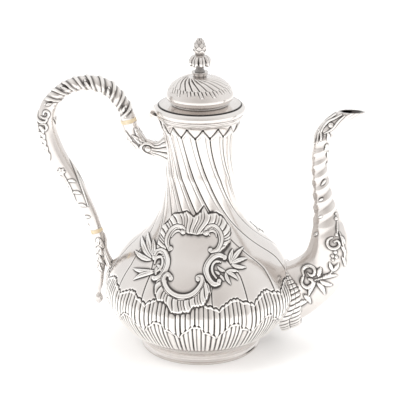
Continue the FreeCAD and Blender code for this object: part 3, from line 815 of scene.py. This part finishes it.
def grip():
    """Hollow grip: a twisted stretch over the top, then a smooth fall with chased leaves."""
    path = [on_axis(UPPER, INSULATOR_HALF, 6.8),
            on_axis(UPPER, 9.7, 6.9), *GRIP_BENDS,
            on_axis(LOWER, -10.7, 5.5),
            on_axis(LOWER, -INSULATOR_HALF, 5.4)]
    tube = Tube(path, 620, 128)
    s, angle = tube.s, tube.angle
    length = s[-1, 0]
    run = ease(1, 6, s) * (1 - ease(TWIST_END - 8, TWIST_END + 2, s))
    turn = s / TWIST_STEP + angle / np.pi
    x = turn - np.round(turn)
    ridge = bell(x, 0.13) + 0.35 * bell(np.abs(x) - 0.5, 0.16)
    line = 0.3 * bell(x - 0.2, 0.035)
    work = tube.relief()
    work.height = run * (1.5 * ridge - 1.1 - line) - 0.1
    for k in range(5):
        at = TWIST_STEP * (2 * k + 1.0)
        work.leaf((at + 1.6, 13.4), (at - 2.4, 9.4), 1.3, -0.5, 1.5)
        work.knob((at + 1.0, 14.6), 1.0, -0.4, 1.2)
    height = chased(tube.points(), work.height, grip_artwork)
    height = height * ease(0, 3, s) * (1 - ease(length - 7, length - 2, s))
    part = capped(tube.points(height), tone_of(height))
    piece("chased_grip", [part], "pot", "handle_grip")


def upper_socket():
    """Scrolled branch with a reeded flare where it meets the neck."""
    path = [(-24.0, 173.6, 15.0, 0.8), (-29.5, 173.6, 11.6, 0.82), (-34.5, 173.3, 7.4, 0.9),
            (-40.0, 174.0, 6.0, 1.0), (-47.5, 176.8, 5.8, 1.0), (-53.6, 182.6, 6.0, 1.0),
            (*on_axis(UPPER, -6.7, 6.4), 1.0),
            (*on_axis(UPPER, -INSULATOR_HALF, 6.8), 1.0)]
    tube = Tube(path, 170, 128)
    s, angle = tube.s, tube.angle
    length = s[-1, 0]
    flare = 1 - ease(13, 17, s)
    work = tube.relief()
    work.height = 1.8 * flare * (arch(16 * angle / (2 * np.pi), 0.6) - 0.7)
    side = 6.0 * np.pi / 2
    work.stroke([(15, side - 4.6), (20, side - 4.8), (25, side - 2), (25, side + 2), (20, side + 4.4),
                 (15, side + 3.6)], 1.3, 0.2, 1.0, 0.5)
    work.knob((19.5, side), 2.6, 0.1, 1.1)
    for base, tip, half, bend in (
        ((25, side - 4), (36, side - 7), 2.2, 0.12), ((26, side + 1), (38, side), 2.2, 0.1),
        ((25, side + 4), (36, side + 7), 2.2, -0.12), ((33, side + 4), (43, side + 5), 2.0, 0.1),
        ((33, side - 3), (43, side - 3), 2.0, -0.1), ((26, 1.6), (38, 2.4), 2.4, 0.1),
    ):
        work.leaf(base, tip, half, 0.2, 1.2, bend, 3)
    height = work.height * (1 - ease(length - 3, length - 0.5, s))
    rows = tube.points(height)
    first = crossing(outside_body(rows, 0.8))
    rows, tone = trimmed(rows, tone_of(height), first, len(rows) - 1.0)
    part = capped(rows, tone)
    piece("chased_upper_socket", [part], "pot", "handle_upper_socket")


def lower_socket():
    """Leafy socket below the grip, its soldered stay, and a plain tail with a bud."""
    start = on_axis(LOWER, INSULATOR_HALF, 5.4)
    path = [start, on_axis(LOWER, 8.7, 5.3), (-87.4, 78.0, 4.4), (-87.1, 67.0, 3.8),
            (-88.2, 56.0, 3.1), (-89.3, 44.0, 2.1), (-90.0, 38.4, 1.9), (-90.1, 37.2, 2.8),
            (-90.2, 34.6, 3.6), (-90.2, 31.6, 3.0), (-90.2, 29.1, 0.9)]
    tube = Tube(path, 260, 96)
    s = tube.s
    work = tube.relief()
    for k in range(4):
        at = 3.5 + 7.5 * k
        work.leaf((at, 8.2), (at + 11, 2.5), 2.5 - 0.25 * k, 0.1, 1.1, 0.12, 3)
        work.leaf((at, 8.2), (at + 10, 13.0), 2.3 - 0.25 * k, 0.1, 1.1, -0.12, 3)
    work.leaf((2.5, 0.0), (22, 0.0), 3.0, 0.1, 1.0, 0.0, 4)
    height = work.height * ease(0, 2.5, s)
    bud = ease(64, 66, s) * (1 - ease(71, 73, s))
    height = height + 0.5 * bud * (arch(6 * tube.angle / (2 * np.pi), 0.6) - 0.5)
    stay = Tube([(-86.4, 88.0, 3.0), (-83.4, 77.0, 3.0), (-79.0, 66.0, 3.8)], 60, 48)
    stay_height = 0.4 * arch(10 * stay.angle / (2 * np.pi), 0.6) - 0.2
    parts = [capped(tube.points(height), tone_of(height)),
             capped(stay.points(stay_height), tone_of(stay_height))]
    piece("chased_lower_socket", parts, "pot", "handle_lower_socket")


# Lid

DOME_OUTLINE = [
    (22.6, 215.4), (26.0, 217.6), (27.6, 220.4), (25.9, 226.8), (21.6, 231.8), (15.2, 235.7),
    (5.6, 237.4),
]
FLANGE = [(34.2, 213.6), (34.2, 214.5), (33.6, 214.55), (23.8, 214.5)]
# painted shade on the flange's outer edge, where it sits in the band's groove
FLANGE_SHADE_TONES = [2.5, 2.0, 0.2, 0.0]
DOME_INSIDE = [
    (1.45, 237.4), (1.45, 236.5), (5.4, 236.5), (14.9, 234.8), (21.0, 231.2), (25.0, 226.5),
    (26.7, 220.5), (25.3, 218.2), (21.7, 215.9), (21.7, 213.6),
]
DOME_COLUMNS = 768
DOME_SWIRLS = 24
DOME_TURN = 64.0  # degrees that a groove turns between its ends
DOME_GROOVE_R = (5.6, 21.5)
BAND_COLUMNS = 384


def turned_grid(outline, columns, height=0.0):
    """Points turned round Z from (radius, z) rows, raised along the outline's normal."""
    tangent = direction(outline)
    angle = np.linspace(-np.pi, np.pi, columns, endpoint=False)
    radius = outline[:, 0:1] + height * tangent[:, 1:2]
    return around(radius, angle, outline[:, 1:2] - height * tangent[:, 0:1])


def dome():
    """Flange, waist and dome with turning grooves and a ragged leaf edge below them."""
    curve = resampled(spline(DOME_OUTLINE, shares(400)), 170)
    angle = np.linspace(-180, 180, DOME_COLUMNS, endpoint=False)
    radius, z = curve[:, 0:1], curve[:, 1:2]
    inner_r, outer_r = DOME_GROOVE_R
    turn = DOME_TURN * np.log(np.maximum(radius, inner_r) / inner_r) / math.log(outer_r / inner_r)
    q = (angle - turn) * DOME_SWIRLS / 360
    top = ease(229.6, 230.6, z)
    line = np.abs(q - np.round(q)) * 2 * np.pi * radius / DOME_SWIRLS
    height = top * (0.5 * arch(q, 0.6) - 0.8 * bell(line, 0.6))
    strokes = DOME_SWIRLS * 2
    q = (angle + z - 241) * strokes / 360
    number = np.mod(np.floor(q), strokes)
    low = 226.8 + 1.2 * np.sin(number * 2.1) + 0.7 * np.sin(number * 5.3)
    leafy = ease(low, low + 1.2, z) * (1 - ease(230.2, 230.9, z))
    height = height + leafy * (0.5 * arch(q, 0.7) - 0.6 * bell(q - np.round(q), 0.16))
    height = height * ease(237.2, 236.6, z)
    outer = turned_grid(curve, DOME_COLUMNS, height)
    flange = turned_grid(np.array(FLANGE), DOME_COLUMNS)
    inner = turned_grid(resampled(np.array(DOME_INSIDE), 60), DOME_COLUMNS)
    rows = np.concatenate([flange, outer, inner])
    # the flange rows carry painted shade along their outer edge
    rim_tone = np.array(FLANGE_SHADE_TONES)[:, None] + np.zeros(DOME_COLUMNS)
    tones = np.concatenate([rim_tone, tone_of(height), 0.2 + np.zeros(inner.shape[:2])])
    piece("chased_dome", [grid_part(rows, tones)], "lid", "lid_dome")


BAND_OUTLINE = [
    (31.6, 206.95), (36.2, 206.95), (36.35, 207.25), (37.2, 208.3), (37.7, 210.1), (37.25, 211.8),
    (36.1, 213.0), (34.9, 213.5), (34.5, 213.35), (34.2, 213.1), (34.1, 213.55), (31.6, 213.6),
]
# tones along the outline: painted shade on the underside and in the groove under the flange, polish on
# the convex face
BAND_TONES = [1.8, 1.8, 0.4, -0.3, -0.3, -0.3, -0.3, 0.2, 2.2, 2.6, 2.6, 0.5]


def band():
    """Convex moulding of the lid, with a groove where the flange lies on it and painted shade in that
    groove and underneath.
    """
    outline = np.array(BAND_OUTLINE)
    at = along(outline)
    even = np.linspace(0, at[-1], 90)
    rows = resampled(outline, len(even))
    smooth = spline(outline[1:8], shares(60))
    rows = np.concatenate([rows[even < at[1]], smooth, rows[even > at[7]]])
    tones = np.interp(along(rows), at, BAND_TONES)[:, None] + np.zeros(BAND_COLUMNS)
    part = grid_part(turned_grid(rows, BAND_COLUMNS), tones)
    piece("lid_moulding", [part], "lid", "lid_band")


FOOT_OUTLINE = [(5.0, 237.3), (5.1, 237.9), (5.6, 238.9), (6.3, 240.4), (6.9, 240.9), (6.8, 241.5)]
CUP_OUTLINE = [(3.4, 247.3), (6.2, 247.0), (8.5, 248.2), (8.5, 251.2), (6.4, 254.2), (3.4, 255.8)]
BUD_OUTLINE = [(3.1, 255.4), (4.4, 259.2), (3.9, 263.0), (2.2, 267.0), (0.25, 269.3)]
SCALE_TIPS_Z = (260.4, 263.0, 265.4, 267.4, 268.9)
FINIAL_COLUMNS = 160
FOOT_LOBES = 9
CUP_LEAVES = 8
BUD_SCALES = 6


def finial_foot(turn):
    """Lobed foot under the stem: its points and their heights."""
    rows = resampled(spline(FOOT_OUTLINE, shares(60)), 60)
    upper = ease(240.0, 240.6, rows[:, 1:2])
    height = 0.55 * (arch(FOOT_LOBES * turn, 0.5) - 0.4) * (1 - upper)
    return turned_grid(rows, FINIAL_COLUMNS, height), height


def finial_cup(turn):
    """Ring of drooping, ribbed leaves under the bud."""
    rows = resampled(spline(CUP_OUTLINE, shares(120)), 90)
    q = CUP_LEAVES * turn
    leaf = arch(q, 0.7)
    rib = bell(q - np.floor(q) - 0.5, 0.09)
    share = shares(len(rows))[:, None]
    spread = np.sin(np.pi * np.clip(share * 1.1, 0, 1))
    veins = 0.4 * arch(40 * turn + share * 3, 0.6)
    height = (2.6 * leaf - 2.1 - 0.6 * rib + veins) * spread
    points = turned_grid(rows, FINIAL_COLUMNS, height)
    points[..., 2] -= bell(share - 0.36, 0.14) * (leaf - 0.3) * 1.3
    return points, height


def finial_bud(turn):
    """Bud with five rows of overlapping scales."""
    rows = resampled(spline(BUD_OUTLINE, shares(120)), 110)
    height = np.zeros((len(rows), FINIAL_COLUMNS))
    for k, tip in enumerate(SCALE_TIPS_Z):
        f = BUD_SCALES * turn + 0.5 * k
        near = np.abs(f - np.floor(f) - 0.5) * 2
        depth = tip - 1.9 * near ** 1.5 - rows[:, 1:2]
        scale = 1.25 * ease(0, 0.3, depth) * (1 - depth / 5) * (1 - 0.5 * near ** 2)
        height = np.where((depth > 0) & (depth < 4.5), np.maximum(height, scale), height)
    height = height * ease(0, 6, np.arange(len(rows))[:, None])
    return turned_grid(rows, FINIAL_COLUMNS, height), height


def finial():
    """Foot, leaf ring and bud, darker than the rest, on the CAD stem."""
    turn = np.linspace(-0.5, 0.5, FINIAL_COLUMNS, endpoint=False)[None, :]
    for name, shape, node in (
        ("finial_leaf_foot", finial_foot, "finial_base"),
        ("finial_leaf_ring", finial_cup, "finial_calyx"),
        ("finial_scaled_bud", finial_bud, "finial_bud"),
    ):
        rows, height = shape(turn)
        piece(name, [capped(rows, tone_of(height) + 0.35)], "lid", node)


# Materials

def new_material(name):
    """A material with its node tree and its shader."""
    material = bpy.data.materials.new(name)
    material.use_nodes = True
    return material, material.node_tree, material.node_tree.nodes["Principled BSDF"]


def node_of(tree, kind, **inputs):
    node = tree.nodes.new(kind)
    for name, value in inputs.items():
        setattr(node, name, value)
    return node


def ramp(tree, source, stops):
    node = tree.nodes.new("ShaderNodeValToRGB")
    tree.links.new(source, node.inputs["Fac"])
    while len(node.color_ramp.elements) < len(stops):
        node.color_ramp.elements.new(0.5)
    for element, (at, colour) in zip(node.color_ramp.elements, stops):
        element.position = at
        element.color = (*colour, 1)
    return node.outputs["Color"]


def noise(tree, scale, detail=4.0, stretch=(1, 1, 1)):
    coords = tree.nodes.new("ShaderNodeTexCoord")
    mapping = tree.nodes.new("ShaderNodeMapping")
    mapping.inputs["Scale"].default_value = stretch
    texture = tree.nodes.new("ShaderNodeTexNoise")
    texture.inputs["Scale"].default_value = scale
    texture.inputs["Detail"].default_value = detail
    tree.links.new(coords.outputs["Object"], mapping.inputs["Vector"])
    tree.links.new(mapping.outputs["Vector"], texture.inputs["Vector"])
    return texture.outputs["Fac"]


def mix_colour(tree, factor, first, second):
    node = node_of(tree, "ShaderNodeMix", data_type="RGBA")
    for socket, value in ((node.inputs[0], factor), (node.inputs[6], first), (node.inputs[7], second)):
        if hasattr(value, "is_output"):
            tree.links.new(value, socket)
        elif isinstance(value, tuple):
            socket.default_value = (*value, 1)
        else:
            socket.default_value = value
    return node.outputs[2]


def value_map(tree, source, low, high, to_low, to_high):
    node = tree.nodes.new("ShaderNodeMapRange")
    tree.links.new(source, node.inputs["Value"])
    for name, value in (("From Min", low), ("From Max", high), ("To Min", to_low), ("To Max", to_high)):
        node.inputs[name].default_value = value
    return node.outputs["Result"]


SILVER_COLOUR = (0.80, 0.765, 0.74)
SILVER_POLISHED = (0.93, 0.915, 0.895)
# dark colour for tarnish in fine grooves and for painted shade in hollows, creases and crevices
PATINA_AND_SHADE_COLOUR = (0.06, 0.055, 0.052)
WORN_TONE = (0.0, -1.2)  # relief tones at which polish starts and is full
# relief tones at which tarnish and painted shade start and are full
TARNISH_AND_SHADE_TONE = (0.12, 1.15)
PAINTED_SHADE_REACH = 2.4  # how far the painted shade looks for neighbouring walls


def silver(name, relief=True, roughness=0.16, tarnish=0.0):
    """Polished silver with dark tarnish left in its grooves, painted shade in its hollows and crevices,
    and fine handling marks.
    """
    material, tree, shader = new_material(name)
    shader.inputs["Metallic"].default_value = 1.0
    cloud = noise(tree, 60.0)
    grain = noise(tree, 900.0, 3.0)
    clean = tuple((1 - tarnish) * c for c in SILVER_COLOUR)
    colour = mix_colour(tree, value_map(tree, cloud, 0.35, 0.65, 0.0, 1.0), clean,
                        tuple(0.96 * c for c in clean))
    # painted shade: ambient occlusion darkens crevices, creases and gaps between parts towards the dark
    # colour
    hollow = tree.nodes.new("ShaderNodeAmbientOcclusion")
    hollow.samples = 8
    hollow.inputs["Distance"].default_value = PAINTED_SHADE_REACH * MM
    shade = value_map(tree, hollow.outputs["AO"], 0.15, 0.75, 0.8, 0.0)
    if relief:
        attribute = node_of(tree, "ShaderNodeAttribute", attribute_name="relief")
        worn = value_map(tree, attribute.outputs["Fac"], *WORN_TONE, 0.0, 1.0)
        # tarnish in fine grooves and painted shade in broad hollows and along the lid's creases
        dark = value_map(tree, attribute.outputs["Fac"], *TARNISH_AND_SHADE_TONE, 0.0, 0.95)
        colour = mix_colour(tree, worn, colour, SILVER_POLISHED)
        colour = mix_colour(tree, dark, colour, PATINA_AND_SHADE_COLOUR)
    # mixes the painted shade from the ambient occlusion into the colour
    colour = mix_colour(tree, shade, colour, PATINA_AND_SHADE_COLOUR)
    tree.links.new(colour, shader.inputs["Base Color"])
    tree.links.new(value_map(tree, grain, 0.3, 0.7, roughness - 0.04, roughness + 0.07),
                   shader.inputs["Roughness"])
    bump = tree.nodes.new("ShaderNodeBump")
    bump.inputs["Strength"].default_value = 0.12
    bump.inputs["Distance"].default_value = 0.2 * MM
    tree.links.new(noise(tree, 220.0, 2.0), bump.inputs["Height"])
    tree.links.new(bump.outputs["Normal"], shader.inputs["Normal"])
    return material


def ivory():
    """Warm ivory with fine streaks along the grain."""
    material, tree, shader = new_material("ivory")
    streaks = noise(tree, 260.0, 5.0, (1, 1, 0.15))
    colour = ramp(tree, streaks, [(0.3, (0.60, 0.47, 0.29)), (0.5, (0.74, 0.62, 0.42)),
                                  (0.7, (0.82, 0.72, 0.54))])
    tree.links.new(colour, shader.inputs["Base Color"])
    shader.inputs["Subsurface Weight"].default_value = 0.15
    shader.inputs["Subsurface Radius"].default_value = (0.003, 0.002, 0.001)
    tree.links.new(value_map(tree, noise(tree, 500.0), 0.3, 0.7, 0.28, 0.42), shader.inputs["Roughness"])
    return material


def dress_cad_nodes():
    """The CAD parts that stay in view get the finished materials."""
    finish = {"silver": SILVER_PLAIN, "ivory": IVORY, "fittings": FITTINGS, "tarnished": TARNISHED}
    for name, node in NODES.items():
        wanted = "silver"
        if "insulator" in name:
            wanted = "ivory"
        if name in ("hinge_pin", "finial_stud", "finial_washer", "finial_nut") or "rivets" in name:
            wanted = "fittings"
        if name == "finial_stem":
            wanted = "tarnished"
        node.data.materials.clear()
        node.data.materials.append(finish[wanted])


# Studio

FLOOR_HALF = 6.0  # this section is in metres
FLOOR_GLOW = 0.14
TENT_FRONT = (0.12, -0.93, 0.34)
TENT_STOPS = [
    # from the far side of the tent to the side behind the camera
    (0.0, (1.0, 1.0, 1.0)), (0.6, (1.0, 0.99, 0.98)), (0.86, (0.87, 0.845, 0.825)),
    (1.0, (0.74, 0.71, 0.69)),
]
LIGHTS = [
    # name, place, power, side
    ("key", (-0.9, -0.7, 1.3), 9.0, 0.9),
    ("fill", (1.1, -0.5, 0.9), 5.0, 0.8),
    ("top", (0.1, 0.3, 1.7), 7.0, 1.1),
]
LIGHT_TARGET = np.array([0, 0, 0.12])
LENS = 117
LENS_SHIFT = -0.0007
CAMERA_ROLL = math.radians(-0.2)


def floor():
    """Pale paper floor."""
    mesh = bpy.data.meshes.new("floor")
    low, high = -FLOOR_HALF, FLOOR_HALF
    mesh.from_pydata([(low, low, 0), (high, low, 0), (high, high, 0), (low, high, 0)], [], [(0, 1, 2, 3)])
    paper, tree, shader = new_material("paper")
    colour = ramp(tree, noise(tree, 3.0), [(0.3, (0.9, 0.895, 0.89)), (0.7, (0.93, 0.925, 0.92))])
    tree.links.new(colour, shader.inputs["Base Color"])
    shader.inputs["Roughness"].default_value = 0.9
    shader.inputs["Emission Color"].default_value = (1.0, 0.995, 0.99, 1)
    shader.inputs["Emission Strength"].default_value = FLOOR_GLOW
    mesh.materials.append(paper)
    show("floor", mesh)


def tent():
    """White tent all round, a little darker behind the camera."""
    world = bpy.data.worlds.new("tent")
    bpy.context.scene.world = world
    world.use_nodes = True
    tree = world.node_tree
    coords = tree.nodes.new("ShaderNodeTexCoord")
    facing = node_of(tree, "ShaderNodeVectorMath", operation="DOT_PRODUCT")
    facing.inputs[1].default_value = TENT_FRONT
    tree.links.new(coords.outputs["Generated"], facing.inputs[0])
    tone = ramp(tree, value_map(tree, facing.outputs["Value"], -1, 1, 0, 1), TENT_STOPS)
    tree.links.new(tone, tree.nodes["Background"].inputs["Color"])


def lights():
    """Soft lights for the floor and the ivory, which the silver doesn't mirror."""
    for name, place, power, side in LIGHTS:
        light = bpy.data.lights.new(name, "AREA")
        light.energy = power
        light.shape = "SQUARE"
        light.size = side
        lamp = show(name, light)
        lamp.location = place
        aim = LIGHT_TARGET - np.array(place)
        lamp.rotation_euler = (math.atan2(math.hypot(aim[0], aim[1]), -aim[2]), 0,
                               math.atan2(aim[1], aim[0]) - math.pi / 2)
        lamp.visible_glossy = False


def camera():
    """Camera at the drawing eye, with a long lens."""
    data = bpy.data.cameras.new("camera")
    data.lens = LENS
    data.shift_x = LENS_SHIFT
    shown = show("camera", data)
    turn = Matrix.Rotation(EYE_TURN, 4, "Z") @ Matrix.Rotation(math.pi / 2 - EYE_PITCH, 4, "X")
    shown.matrix_world = Matrix.Translation(EYE * MM) @ turn @ Matrix.Rotation(CAMERA_ROLL, 4, "Z")
    bpy.context.scene.camera = shown


SILVER = silver("chased_silver")
SILVER_PLAIN = silver("plain_silver", relief=False)
FITTINGS = silver("fittings_silver", relief=False, roughness=0.24)
TARNISHED = silver("tarnished_silver", relief=False, roughness=0.3, tarnish=0.6)
IVORY = ivory()

dress_cad_nodes()
body()
spout()
collar()
grip()
upper_socket()
lower_socket()
dome()
band()
finial()
bpy.context.scene.view_settings.view_transform = "Standard"
floor()
tent()
lights()
camera()
